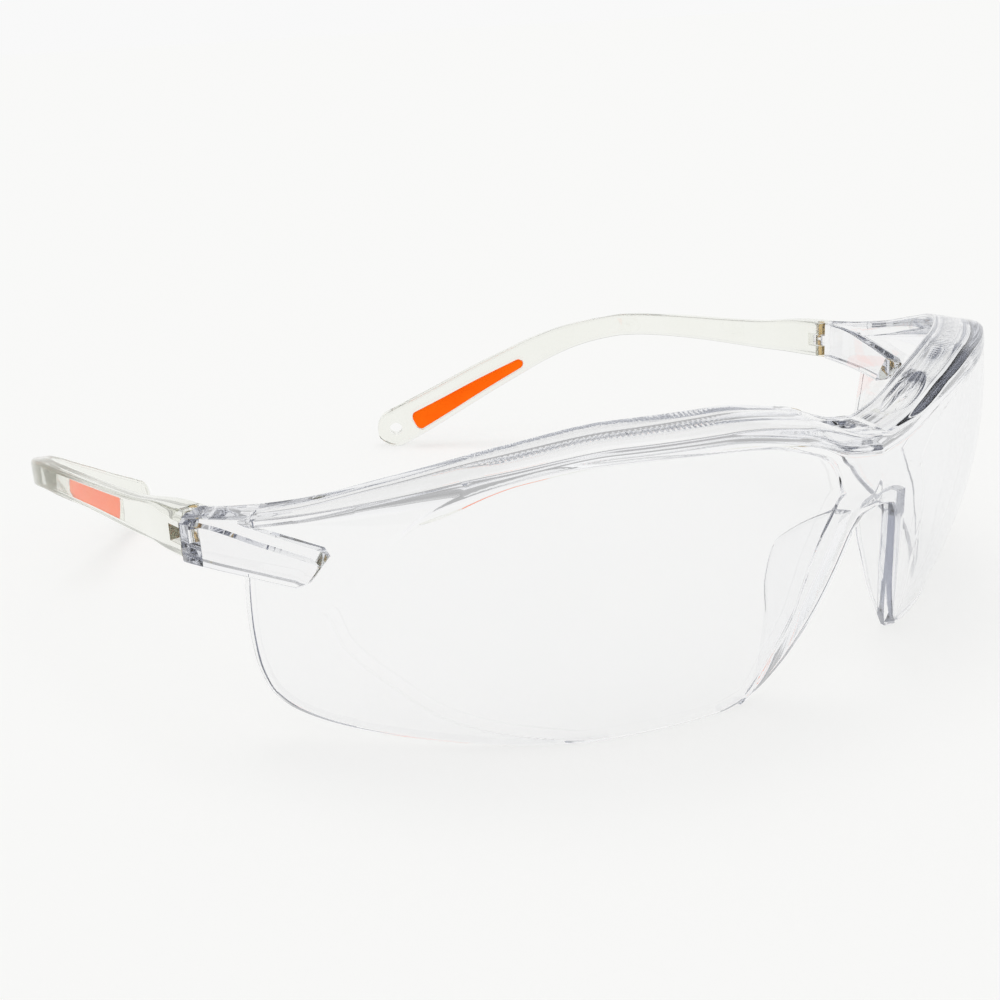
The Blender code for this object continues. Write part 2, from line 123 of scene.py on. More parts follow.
# Hinge.
SEAM_Y = -16.7
HINGE_GAP = 0.3
KNUCKLE_RADIUS = 1.5
HINGE_X = 67.9
HINGE_Y = SEAM_Y + HINGE_GAP + KNUCKLE_RADIUS
HINGE_Z = 28.0
TONGUE_HEIGHT = 1.8
PIN_RADIUS = 0.6
PIN_BORE = 0.72
PIN_EASE = 0.15

# Lugs: box sections at the ends of the front.
LUG_START_ANGLE = 60.6
LUG_PAST_SEAM = 80.0           # the seam's trim cuts off what is past it
LUG_END_RAKE = 2.0
LUG_RAKE_RUN = 9.0
LUG_PROUD = 0.5
LUG_DEPTH = 4.3
LUG_ROUND = 0.35
LUG_BEVEL = 1.2                # on the outer top edge
LUG_END_BEVEL = 1.3            # degrees of plan angle taken by the bevel at the front end
LUG_NOSE_LIFT = 0.5            # what that bevel takes off below, above and inside
LUG_NOSE_DROP = 0.3
LUG_NOSE_THIN = 1.5
LUG_NOSE_SINK = 0.8            # and outside, as a share of how proud the lug is
LUG_BOTTOM = ((60, 23.4), (70, 24.2), (80, 24.8))
LUG_TOP = ((60, 28.0), (68, 29.8), (75, 31.1), (80, 31.2))

# Temples, as (millimetres behind their front end, millimetres).
TEMPLE_START = SEAM_Y + HINGE_GAP
TEMPLE_PLAN = ((0, 68.6), (12.5, 68.3), (31.5, 67.5), (42.5, 66.7), (50, 65.6), (56.5, 63.6),
               (62, 60.8), (67, 57.1), (72, 52.3), (77, 46.6), (87, 33.8), (90.5, 29.4))
TEMPLE_RISE = ((0, 28.0), (6.5, 27.8), (16.5, 27.0), (31.5, 26.6), (42.5, 26.1), (50, 25.4),
               (56.5, 24.0), (62, 22.3), (67, 19.9), (72, 16.6), (77, 12.9), (82, 8.8),
               (86, 5.6), (88.3, 3.87), (90.5, 2.4))
TEMPLE_HALF_HEIGHT = ((0, 3.2), (5.5, 3.15), (16.5, 2.6), (30.5, 2.2), (42.5, 2.1), (56.5, 2.2),
                      (64.5, 2.6), (72, 3.1), (80, 3.6), (88, 4.0), (91, 4.0))
TEMPLE_HALF_WIDTH = ((0, 2.4), (4.5, 2.3), (8.5, 1.9), (13.5, 1.35), (20.5, 1.2), (36.5, 1.2),
                     (50, 1.35), (66, 1.55), (91, 1.6))
TEMPLE_ROUND = 0.8
BEVEL_RUN = 12.0               # the lug's bevel carries on and fades over this length
ARM_END = 87.0
TIP_CENTRE = 88.3
TIP_RADIUS = 4.0
CORD_HOLE_RADIUS = 1.4

# Tip pads.
PAD_START = 70.4
PAD_END = 85.9
INSERT_NARROW = 0.9
INSERT_WIDE = 2.0
INSERT_CORNER = 1.2
INSERT_DROP = 0.8
INSERT_DEPTH = 1.0
INSERT_PROUD = 0.25
INSERT_GAP = 0.25

# Clear plastic.
POLYCARBONATE_IOR = 1.585
CLEAR_DENSITY = 18.0           # light lost per metre on its way through

# Studio: an evenly lit white table. The surroundings are greys by the height of the
# direction, from 0 at the horizon to 1 overhead.
FLOOR_RADIUS = 6.0
FLOOR_PAINT = 0.3
FLOOR_GLOW = 0.629
SURROUNDINGS = ((0.0, 0.945), (0.42, 0.945), (0.5, 0.52), (0.82, 0.44), (0.92, 1.0), (1.0, 1.0))
LAMP_STRENGTH = 1.17
LAMP_SPREAD = math.radians(30)
LAMP_TILT = (math.radians(-16), math.radians(10), 0)
LIGHT_BOUNCES = 32
CLEAR_LAYERS = 24

# View.
VIEW_AZIMUTH = math.radians(-41.2)
VIEW_ELEVATION = math.radians(18.5)
VIEW_ROLL = math.radians(-3.28)
VIEW_AIM = Vector((0.0, 1.93, 10.34)) * MM
VIEW_DISTANCE = 254.9 * MM
VIEW_LENS = 53.5


# ---------------------------------------------------------------- curves

def curve(points, at):
    """Smooth curve through points, without overshoot, at one place or an array."""
    xs, ys = np.array(points, dtype=float).T
    at = np.clip(np.asarray(at, dtype=float), xs[0], xs[-1])
    step = np.diff(xs)
    rise = np.diff(ys) / step
    slope = np.concatenate(([rise[0]], np.zeros(len(xs) - 2), [rise[-1]]))
    same = rise[:-1] * rise[1:] > 0
    slope[1:-1][same] = (2 * rise[:-1] * rise[1:])[same] / (rise[:-1] + rise[1:])[same]
    k = np.clip(np.searchsorted(xs, at, side="right") - 1, 0, len(xs) - 2)
    t = (at - xs[k]) / step[k]
    start = ys[k] * (1 + 2 * t) * (1 - t) ** 2 + slope[k] * step[k] * t * (1 - t) ** 2
    return start + ys[k + 1] * t * t * (3 - 2 * t) + slope[k + 1] * step[k] * t * t * (t - 1)


def steepness(points, at):
    """Length of a line over its run, for an outline given by plan angle."""
    half = 0.05
    rise = (curve(points, at + half) - curve(points, at - half)) / (2 * half)
    return float(math.hypot(1.0, rise / math.radians(BARREL_RADIUS)))


def arc(centre, radius, start, end, count):
    """Points of a circular or elliptical arc, angles in degrees."""
    turn = np.radians(np.linspace(start, end, count))
    wide, high = radius if isinstance(radius, tuple) else (radius, radius)
    return [(centre[0] + wide * c, centre[1] + high * s)
            for c, s in zip(np.cos(turn), np.sin(turn))]


# ---------------------------------------------------------------- meshes

def new_object(name, points, faces):
    mesh = bpy.data.meshes.new(name)
    mesh.from_pydata([tuple(p) for p in np.asarray(points) * MM], [], faces)
    form = bmesh.new()
    form.from_mesh(mesh)
    bmesh.ops.recalc_face_normals(form, faces=form.faces)
    form.to_mesh(mesh)
    form.free()
    obj = bpy.data.objects.new(name, mesh)
    bpy.context.scene.collection.objects.link(obj)
    return obj


def loft(name, rings):
    """Closed solid through rings of millimetre points, with both ends capped."""
    rings = np.asarray(rings, dtype=float)
    rows, count = rings.shape[:2]
    index = np.arange(rows * count).reshape(rows, count)
    after = np.roll(index, -1, axis=1)
    quads = np.stack([index[:-1], after[:-1], after[1:], index[1:]], axis=-1)
    faces = quads.reshape(-1, 4).tolist()
    faces += [index[0][::-1].tolist(), index[-1].tolist()]
    return new_object(name, rings.reshape(-1, 3), faces)


def prism(name, outline, low, high):
    return loft(name, [[(x, y, z) for x, y in outline] for z in (low, high)])


def rod(name, centre, radius, length, turn=Matrix.Identity(4), segments=48):
    outline = arc((0.0, 0.0), radius, 0, 360 - 360 / segments, segments)
    obj = prism(name, outline, -length / 2, length / 2)
    obj.data.transform(Matrix.Translation(Vector(centre) * MM) @ turn)
    return obj


def shape(obj, joined=(), cut=()):
    """Adds and removes the tool solids, then keeps one finished mesh."""
    for operation, tools in (("UNION", joined), ("DIFFERENCE", cut)):
        for tool in tools:
            step = obj.modifiers.new(tool.name, "BOOLEAN")
            step.operation = operation
            step.solver = "MANIFOLD"
            step.object = tool
    bpy.context.view_layer.update()
    seen = obj.evaluated_get(bpy.context.evaluated_depsgraph_get())
    mesh = bpy.data.meshes.new_from_object(seen)
    obj.modifiers.clear()
    obj.data = mesh
    for tool in (*joined, *cut):
        bpy.data.objects.remove(tool, do_unlink=True)


def soften(obj, sharp_degrees):
    """Smooth shading that keeps crisp edges."""
    for face in obj.data.polygons:
        face.use_smooth = True
    obj.data.set_sharp_from_angle(angle=math.radians(sharp_degrees))
    weigh = obj.modifiers.new("face_weights", "WEIGHTED_NORMAL")
    weigh.keep_sharp = True


def mirrored(obj, name):
    mesh = obj.data.copy()
    mesh.transform(Matrix.Scale(-1, 4, Vector((1, 0, 0))))
    mesh.flip_normals()
    twin = bpy.data.objects.new(name, mesh)
    bpy.context.scene.collection.objects.link(twin)
    return twin


# ---------------------------------------------------------------- front

def front_points(angle, section):
    """Row-frame points, in millimetres, of a section given as (depth, height)."""
    depth, z = np.array(section, dtype=float).T
    turn = np.radians(angle)
    sag = (z - BARREL_EQUATOR_Z) ** 2 / (2 * BARREL_CURVE)
    away = min(abs(abs(angle) - BULGE_ANGLE) / BULGE_SPAN, 1.0)
    height = np.maximum(0.0, 1 - ((z - BULGE_Z) / 28) ** 2)
    bulge = LENS_BULGE * math.cos(away * math.pi / 2) ** 2 * height
    radius = BARREL_RADIUS - sag + bulge - depth
    centre = BARREL_CENTRE_Y + LEAN * (BARREL_TOP_Z - z)
    return np.stack([radius * np.sin(turn), centre - radius * np.cos(turn), z], axis=-1)


def window_outline():
    """The window's edge as dense (arc length, height) points in millimetres."""
    side = np.linspace(WINDOW_START, WINDOW_END, 700)
    across = np.radians(side) * BARREL_RADIUS
    return np.concatenate([np.stack([across, curve(line, side)], axis=-1)
                           for line in (WINDOW_FOOT, WINDOW_TOP)])


WINDOW_EDGE = window_outline()


def window_depth(side, heights):
    """How far the window is set back at each height of one plan angle."""
    heights = np.asarray(heights)
    here = np.stack([np.full(len(heights), math.radians(side) * BARREL_RADIUS), heights], axis=-1)
    away = np.linalg.norm(here[:, None] - WINDOW_EDGE[None], axis=-1).min(axis=1)
    inside = ((heights > curve(WINDOW_FOOT, side)) & (heights < curve(WINDOW_TOP, side))
              & (side > WINDOW_START) & (side < WINDOW_END))
    t = np.clip(0.5 + np.where(inside, away, -away) / WINDOW_SLOPE, 0.0, 1.0)
    return WINDOW_STEP * t * t * (3 - 2 * t)


def outer_face(side, bottom, high):
    """Rows of the outer face from the lower edge up, close together at the window's edge."""
    foot = float(curve(WINDOW_FOOT, side))
    head = float(curve(WINDOW_TOP, side))
    foot_slope = 0.6 * WINDOW_SLOPE * min(steepness(WINDOW_FOOT, side), 4.0)
    head_slope = 0.6 * WINDOW_SLOPE * min(steepness(WINDOW_TOP, side), 4.0)
    middle = 0.5 * (foot + head)
    lines = np.clip((bottom, min(foot - foot_slope, middle), min(foot + foot_slope, middle),
                     max(head - head_slope, middle), max(head + head_slope, middle), high),
                    bottom, high)
    heights = [np.linspace(lines[k], lines[k + 1], count, endpoint=False)
               for k, count in enumerate((5, 6, 14, 6, 6))]
    heights = np.concatenate(heights)
    return list(zip(window_depth(side, heights), heights))


def brow_top(length, top, crown):
    """Sloping top face of the brow, which rolls over a soft corner to the outer face."""
    corner = BROW_CORNER * length
    start = (0.0, top - crown)
    edge = (0.0, top - BROW_SHOULDER * crown)
    end = (length, top)
    share = corner / length
    flat = (corner, edge[1] + (end[1] - edge[1]) * share)
    points = []
    for t in np.linspace(0, 1, 8):
        points.append(tuple((1 - t) ** 2 * start[k] + 2 * t * (1 - t) * edge[k] + t * t * flat[k]
                            for k in range(2)))
    for t in np.linspace(0, 1, 6)[1:]:
        points.append(tuple(flat[k] + (end[k] - flat[k]) * t for k in range(2)))
    return points


def brow_ribs(side, outer, inner, under):
    """Underside of the brow from its rear edge inwards, with fine ribs across it."""
    fade = np.clip(min(side - RIB_START, RIB_END - side) / RIB_FADE, 0.0, 1.0)
    wave = 0.5 - 0.5 * math.cos(2 * math.pi * math.radians(side) * BARREL_RADIUS / RIB_PITCH)
    points = []
    for t in np.linspace(0, 1, 7):
        swell = math.sin(math.pi * t) ** 0.5 * fade * wave
        points.append((outer + (inner - outer) * t, under + RIB_DEPTH * swell))
    return points


def front_section(side):
    """Section of lens and brow at one plan angle, as (depth, height) in millimetres."""
    top = float(curve(TOP_LINE, side))
    bottom = float(curve(BOTTOM_LINE, side))
    shelf = float(curve(SHELF_DEPTH, side))
    tall = top - bottom
    crown = min(BROW_CROWN, 0.3 * tall)
    under = top - min(SHELF_THICK, 0.45 * tall)
    fillet = min(float(curve(COVE_HEIGHT, side)), 0.4 * (under - bottom))
    ease = min(fillet, max(shelf - WALL - 1.0, 0.05))
    foot = min(EDGE_ROUND * min(steepness(BOTTOM_LINE, side), 4.0), 0.3 * (under - bottom))
    section = outer_face(side, bottom + foot, top - crown)
    section += brow_top(shelf - REAR_TOP_ROUND, top, crown)
    section += arc((shelf - REAR_TOP_ROUND, top - REAR_TOP_ROUND), REAR_TOP_ROUND, 75, 0, 5)
    section += arc((shelf - REAR_FOOT_ROUND, under + REAR_FOOT_ROUND), REAR_FOOT_ROUND,
                   0, -90, 5)
    section += brow_ribs(side, shelf - 0.8, WALL + ease + 0.1, under)
    section += arc((WALL + ease, under - fillet), (ease, fillet), 90, 180, 12)
    section += [(WALL, z) for z in np.linspace(under - fillet, bottom + foot, 14)[1:]]
    section += arc((WALL - EDGE_ROUND, bottom + foot), (EDGE_ROUND, foot), 0, -90, 5)[1:]
    section += arc((EDGE_ROUND, bottom + foot), (EDGE_ROUND, foot), -90, -180, 5)[:-1]
    return section


def front_angles():
    """Plan angles of the stations from wing to wing."""
    half = [0.0]
    while half[-1] < FRONT_END_ANGLE:
        half.append(half[-1] + float(np.interp(half[-1], *zip(*STATION_PACE))))
    half[-1] = FRONT_END_ANGLE
    return [-a for a in reversed(half[1:])] + half


def nose_pad(side):
    """Thin flange behind one nasal edge, with a round free edge."""
    rings = []
    back = np.array([math.sin(PAD_SPLAY), math.cos(PAD_SPLAY), 0.0])
    out = np.array([back[1], -back[0], 0.0])
    for height in np.linspace(PAD_EDGE[0][0], PAD_EDGE[-1][0], 60):
        edge = float(curve(PAD_EDGE, height))
        reach = float(curve(PAD_REACH, height)) + WALL
        angle = math.degrees(math.asin(edge / BARREL_RADIUS))
        root = front_points(angle, [(0.9, height)])[0]
        half = PAD_THICK / 2
        outline = [(0.0, 0.0)]
        outline += [(reach - half * 0.8 + half * 0.8 * math.cos(t), half + half * math.sin(t))
                    for t in np.linspace(-math.pi / 2, math.pi / 2, 9)]
        outline += [(0.0, PAD_THICK)]
        ring = [root + back * run + out * across for run, across in outline]
        rings.append([(side * p[0], p[1], p[2]) for p in ring])
    return loft("nose_pad_form", rings)


def lug(side):
    """Box section behind the seam: bevelled outer top edge and bevelled front end."""
    rings = []
    soft = LUG_ROUND
    bevel_end = LUG_START_ANGLE + LUG_END_BEVEL
    for angle in np.concatenate([np.linspace(LUG_START_ANGLE, bevel_end, 5),
                                 np.linspace(bevel_end, LUG_PAST_SEAM, 40)[1:]]):
        entry = max(0.0, 1 - (angle - LUG_START_ANGLE) / LUG_END_BEVEL)
        low = float(curve(LUG_BOTTOM, angle)) + LUG_NOSE_LIFT * entry
        high = float(curve(LUG_TOP, angle)) - LUG_NOSE_DROP * entry
        near = -LUG_PROUD * (1 - LUG_NOSE_SINK * entry)
        far = LUG_DEPTH - LUG_NOSE_THIN * entry
        rake = LUG_END_RAKE * max(0.0, 1 - (angle - LUG_START_ANGLE) / LUG_RAKE_RUN)
        outline = arc((near + soft, low + soft), soft, 270, 180, 5)
        outline += [(near, high - LUG_BEVEL), (near + 0.1, high - LUG_BEVEL + 0.15),
                    (near + LUG_BEVEL - 0.15, high - 0.08), (near + LUG_BEVEL, high)]
        outline += arc((far - soft, high - soft), soft, 90, 0, 5)
        outline += arc((far - soft, low + soft), soft, 0, -90, 5)
        rings.append([front_points(side * (angle + rake * (high - z) / (high - low)),
                                   [(depth, z)])[0] for depth, z in outline])
    return loft("lug_form", rings)


def scoop(side):
    """Elongated hollow that follows the shelf beside the bridge."""
    rings = []
    for t in np.sin(np.radians(np.linspace(-88, 88, 41))):
        angle = SCOOP_ANGLE + math.degrees(t * SCOOP_LENGTH / 2 / BARREL_RADIUS)
        swell = math.sqrt(1 - t * t)
        half = SCOOP_WIDTH / 2 * swell
        top = float(curve(TOP_LINE, angle))
        middle = float(curve(SHELF_DEPTH, angle)) * SCOOP_PLACE
        outline = arc((middle, top), (half, SCOOP_FLOOR * swell), 0, -180, 17)
        outline += [(middle - half, top + 2), (middle + half, top + 2)]
        rings.append(front_points(side * angle, outline))
    return loft("scoop_form", rings)


def knuckle(side):
    """Round-ended tongue that reaches back into the temple's fork."""
    outline = [(HINGE_X - KNUCKLE_RADIUS, SEAM_Y - 3)]
    outline += arc((HINGE_X, HINGE_Y), KNUCKLE_RADIUS, 180, 0, 25)
    outline += [(HINGE_X + KNUCKLE_RADIUS, SEAM_Y - 3)]
    return prism("tongue_form", [(side * x, y) for x, y in outline],
                 HINGE_Z - TONGUE_HEIGHT / 2, HINGE_Z + TONGUE_HEIGHT / 2)


def front_moulding():
    """Lenses, brow, rims, lugs and tongues in one solid."""
    angles = front_angles()
    sections = {side: front_section(side) for side in angles if side >= 0}
    obj = loft("front_moulding", [front_points(a, sections[abs(a)]) for a in angles])
    added = [form(side) for side in (-1, 1) for form in (lug, nose_pad)]
    wide = 100
    trim = prism("seam_trim", [(-wide, SEAM_Y), (wide, SEAM_Y), (wide, SEAM_Y + 40),
                               (-wide, SEAM_Y + 40)], -10, 60)
    shape(obj, added, [scoop(-1), scoop(1), trim])
    bores = [rod("tongue_bore", (side * HINGE_X, HINGE_Y, HINGE_Z), PIN_BORE, 4)
             for side in (-1, 1)]
    shape(obj, [knuckle(-1), knuckle(1)], bores)
    return obj


# ---------------------------------------------------------------- temples

def temple_axes(along):
    """Centre, outward, upward and backward directions of the left temple."""
    last = TEMPLE_RISE[-1][0]
    back = min(along + 0.5, last)
    ahead = min(along - 0.5, last - 1.0)
    run = np.array([curve(TEMPLE_PLAN, back) - curve(TEMPLE_PLAN, ahead), back - ahead,
                    curve(TEMPLE_RISE, back) - curve(TEMPLE_RISE, ahead)])
    run /= np.linalg.norm(run)
    outward = np.cross(run, (0.0, 0.0, 1.0))
    outward /= np.linalg.norm(outward)
    centre = np.array([curve(TEMPLE_PLAN, along), TEMPLE_START + along,
                       curve(TEMPLE_RISE, along)])
    return centre, outward, np.cross(outward, run), run


def temple_points(along, section, past=0.0):
    """Points of a section given as (outward, upward), moved past it along the run."""
    centre, outward, upward, run = temple_axes(along)
    return [centre + outward * across + upward * up + run * past for across, up in section]


def temple_section(along, past=0.0):
    """Rounded box; past is the distance into the round tip."""
    high = float(curve(TEMPLE_HALF_HEIGHT, along))
    wide = float(curve(TEMPLE_HALF_WIDTH, along))
    if past > 0:
        high = math.sqrt(TIP_RADIUS ** 2 - past ** 2)
    plain = min(TEMPLE_ROUND, 0.45 * wide, 0.6 * high)
    blend = min(1.0, along / BEVEL_RUN)
    section = []
    for out, up, start in ((1, 1, 0), (-1, 1, 90), (-1, -1, 180), (1, -1, 270)):
        soft = plain
        if out > 0 and up > 0:
            soft = plain + (LUG_BEVEL - plain) * (1 - blend)
        turn = np.radians(np.linspace(start, start + 90, 6))
        curl = np.stack([out * (wide - soft) + soft * np.cos(turn),
                         up * (high - soft) + soft * np.sin(turn)], axis=-1)
        if out > 0 and up > 0:
            chamfer = np.linspace(curl[0], curl[-1], 6)
            curl = chamfer + (curl - chamfer) * blend
        section += [tuple(point) for point in curl]
    return section


def temple_moulding():
    """Forked, curved arm with a round tip, a cord hole and a pocket for the pad."""
    places = np.concatenate([np.arange(0, 24, 0.75), np.arange(24, ARM_END - 0.5, 0.8),
                             [ARM_END]])
    rings = [temple_points(along, temple_section(along)) for along in places]
    for turn in np.radians(np.linspace(0, 87, 30)):
        past = TIP_RADIUS * math.sin(turn)
        rings.append(temple_points(TIP_CENTRE, temple_section(TIP_CENTRE, past), past))
    obj = loft("temple_moulding_left", rings)
    centre, outward = temple_axes(TIP_CENTRE)[:2]
    across = Vector(outward).to_track_quat("Z", "Y").to_matrix().to_4x4()
    slot_half = TONGUE_HEIGHT / 2 + HINGE_GAP
    corner = [(HINGE_X - 4, HINGE_Y), (HINGE_X - 4, SEAM_Y - 1), (HINGE_X, SEAM_Y - 1)]
    corner += arc((HINGE_X, HINGE_Y), KNUCKLE_RADIUS, -90, -180, 17)
    back = HINGE_Y + KNUCKLE_RADIUS + HINGE_GAP
    slot = [(HINGE_X - 6, SEAM_Y - 2), (HINGE_X + 6, SEAM_Y - 2), (HINGE_X + 6, back),
            (HINGE_X - 6, back)]
    floor = [(centre[0] + dx, centre[1] + dy)
             for dx, dy in ((-15, -15), (15, -15), (15, 15), (-15, 15))]
    shape(obj, cut=[
        prism("ear_corner", corner, HINGE_Z - 6, HINGE_Z + 6),
        prism("fork_slot", slot, HINGE_Z - slot_half, HINGE_Z + slot_half),
        rod("ear_bore", (HINGE_X, HINGE_Y, HINGE_Z), PIN_BORE, 10),
        rod("cord_hole", centre, CORD_HOLE_RADIUS, 12, across),
        insert("pad_pocket", INSERT_GAP, INSERT_DEPTH + INSERT_GAP, None),
        prism("floor_trim", floor, -15, 0),
    ])
    return obj


def insert(name, grow, depth_in, dome):
    """Tapered bar with a round front and a blunt rear end.

    With a dome it is the pad, without it the pocket.
    """
    nose = INSERT_NARROW * temple_axes(PAD_START)[3][1]
    tail = INSERT_CORNER * temple_axes(PAD_END)[3][1]
    places = [PAD_START + nose * (1 - math.cos(t)) for t in np.radians(range(0, 90, 10))]
    places += list(np.linspace(PAD_START + nose, PAD_END - tail, 26))
    places += [PAD_END - tail + tail * math.sin(t) for t in np.radians(range(9, 99, 9))]
    rings = []
    for place in places:
        run = temple_axes(place)[3]
        t = (place - PAD_START) / (PAD_END - PAD_START)
        half = INSERT_NARROW + (INSERT_WIDE - INSERT_NARROW) * t
        for end, high, corner in ((PAD_START, INSERT_NARROW, INSERT_NARROW),
                                  (PAD_END, INSERT_WIDE, INSERT_CORNER)):
            reach = corner - abs(place - end) / run[1]
            if reach > 0:
                half = min(half, high - corner + math.sqrt(max(corner ** 2 - reach ** 2, 0.0)))
        half = max(half, 0.25) + grow
        past = {places[0]: -grow, places[-1]: grow}.get(place, 0.0)
        face = -float(curve(TEMPLE_HALF_WIDTH, place))
        if dome is None:
            section = [(face + depth_in, half), (face + depth_in, -half),
                       (face - 1.5, -half), (face - 1.5, half)]
        else:
            soft = min(0.3, 0.5 * half)
            section = [(face + depth_in, half), (face + depth_in, -half)]
            section += arc((face + soft, -half + soft), soft, -90, -180, 4)
            section += [(face - dome * (1 - (u / (half - soft)) ** 2), u)
                        for u in np.linspace(-half + soft, half - soft, 13)[1:-1]]
            section += arc((face + soft, half - soft), soft, 180, 90, 4)
        rings.append(temple_points(place, [(a, u - INSERT_DROP) for a, u in section], past))
    return loft(name, rings)


def hinge_stub(node):
    """Turned stub with rounded ends, where its CAD node is."""
    low, high = (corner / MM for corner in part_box(node))
    middle = (low + high) / 2
    tall = high.z - low.z
    end = ((0, PIN_RADIUS - PIN_EASE), (0.05, PIN_RADIUS - 0.07), (PIN_EASE, PIN_RADIUS))
    rings = []
    for z, radius in (*end, *((tall - z, radius) for z, radius in reversed(end))):
        rings.append([(middle.x + x, middle.y + y, low.z + z)
                      for x, y in arc((0, 0), radius, 0, 352.5, 48)])
    return loft(node.replace("pin", "stub"), rings)


# ---------------------------------------------------------------- materials

def add(tree, kind, **values):
    """A node with plain values set on its sockets or fields."""
    node = tree.nodes.new(kind)
    for name, value in values.items():
        if hasattr(node, name):
            setattr(node, name, value)
        else:
            node.inputs[name.replace("_", " ")].default_value = value
    return node


def new_material(name):
    """An empty material with its tree and output."""
    material = bpy.data.materials.new(name)
    material.use_nodes = True
    tree = material.node_tree
    tree.nodes.clear()
    return material, tree, add(tree, "ShaderNodeOutputMaterial")


def ramp(tree, factor, *stops):
    """Colour ramp through (place, colour) stops."""
    node = add(tree, "ShaderNodeValToRGB")
    while len(node.color_ramp.elements) < len(stops):
        node.color_ramp.elements.new(0.5)
    for element, (place, colour) in zip(node.color_ramp.elements, stops):
        element.position = place
        element.color = (*colour, 1.0)
    tree.links.new(factor, node.inputs["Fac"])
    return node.outputs["Color"]


def grey(value):
    return (value, value, value)


def clear_plastic(name, tint, edge_tint, shade, deep_tint):
    """Polished polycarbonate that lets lamps through and greys them at a slant."""
    material, tree, output = new_material(name)
    place = add(tree, "ShaderNodeTexCoord").outputs["Object"]
    haze = add(tree, "ShaderNodeTexNoise", Scale=60.0, Detail=4.0, Roughness=0.6)
    tree.links.new(place, haze.inputs["Vector"])
    flow = add(tree, "ShaderNodeTexNoise", Scale=25.0, Detail=1.0)
    tree.links.new(place, flow.inputs["Vector"])
    body = add(tree, "ShaderNodeBsdfPrincipled", IOR=POLYCARBONATE_IOR)
    body.inputs["Transmission Weight"].default_value = 1.0
    tree.links.new(ramp(tree, haze.outputs["Fac"], (0.3, tint), (0.75, edge_tint)),
                   body.inputs["Base Color"])
    tree.links.new(ramp(tree, haze.outputs["Fac"], (0.35, grey(0.0)), (0.8, grey(0.04))),
                   body.inputs["Roughness"])
    bump = add(tree, "ShaderNodeBump", Strength=0.06, Distance=0.0005)
    tree.links.new(flow.outputs["Fac"], bump.inputs["Height"])
    tree.links.new(bump.outputs["Normal"], body.inputs["Normal"])
    slant = add(tree, "ShaderNodeLayerWeight", Blend=0.35)
    passing = add(tree, "ShaderNodeBsdfTransparent")
    tree.links.new(ramp(tree, slant.outputs["Facing"], (0.3, grey(0.975)), (1.0, shade)),
                   passing.inputs["Color"])
    path = add(tree, "ShaderNodeLightPath")
    mix = add(tree, "ShaderNodeMixShader")
    tree.links.new(path.outputs["Is Shadow Ray"], mix.inputs[0])
    tree.links.new(body.outputs[0], mix.inputs[1])
    tree.links.new(passing.outputs[0], mix.inputs[2])
    tree.links.new(mix.outputs[0], output.inputs["Surface"])
    inside = add(tree, "ShaderNodeVolumeAbsorption", Density=CLEAR_DENSITY)
    inside.inputs["Color"].default_value = (*deep_tint, 1.0)
    tree.links.new(inside.outputs[0], output.inputs["Volume"])
    return material


def orange_rubber():
    """Satin rubber with a fine grain, whose bright orange has a painted glow: a little light of
    its own.
    """
    material, tree, output = new_material("pad_orange_rubber")
    place = add(tree, "ShaderNodeTexCoord").outputs["Object"]
    grain = add(tree, "ShaderNodeTexNoise", Scale=2500.0, Detail=3.0)
    cloud = add(tree, "ShaderNodeTexNoise", Scale=180.0, Detail=2.0)
    for node in (grain, cloud):
        tree.links.new(place, node.inputs["Vector"])
    body = add(tree, "ShaderNodeBsdfPrincipled", IOR=1.45)
    body.inputs["Specular IOR Level"].default_value = 0.05
    # Painted glow: the pad gives off a little orange light, though it is no lamp.
    body.inputs["Emission Color"].default_value = (1.0, 0.12, 0.0, 1.0)
    body.inputs["Emission Strength"].default_value = 0.2
    tree.links.new(ramp(tree, cloud.outputs["Fac"], (0.3, (1.0, 0.12, 0.002)),
                        (0.7, (1.0, 0.16, 0.004))), body.inputs["Base Color"])
    tree.links.new(ramp(tree, grain.outputs["Fac"], (0.3, grey(0.38)), (0.7, grey(0.55))),
                   body.inputs["Roughness"])
    bump = add(tree, "ShaderNodeBump", Strength=0.25, Distance=0.00005)
    tree.links.new(grain.outputs["Fac"], bump.inputs["Height"])
    tree.links.new(bump.outputs["Normal"], body.inputs["Normal"])
    tree.links.new(body.outputs[0], output.inputs["Surface"])
    return material


def turned_brass():
    """Brass with the rings that turning leaves."""
    material, tree, output = new_material("hinge_brass")
    place = add(tree, "ShaderNodeTexCoord").outputs["Object"]
    rings = add(tree, "ShaderNodeTexWave", bands_direction="Z", Scale=1500.0, Distortion=1.5)
    tree.links.new(place, rings.inputs["Vector"])
    body = add(tree, "ShaderNodeBsdfPrincipled", Metallic=1.0)
    tree.links.new(ramp(tree, rings.outputs["Fac"], (0.0, (0.62, 0.42, 0.16)),
                        (1.0, (0.80, 0.60, 0.28))), body.inputs["Base Color"])
    tree.links.new(ramp(tree, rings.outputs["Fac"], (0.0, grey(0.22)), (1.0, grey(0.36))),
                   body.inputs["Roughness"])
    tree.links.new(body.outputs[0], output.inputs["Surface"])
    return material


# ---------------------------------------------------------------- pieces

def dress(obj, material, body, node, sharp_degrees=35):
    """Gives a piece its look and its body, and hides the CAD node that it stands for."""
    obj.data.materials.clear()
    obj.data.materials.append(material)
    soften(obj, sharp_degrees)
    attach(obj, body)
    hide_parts(node)


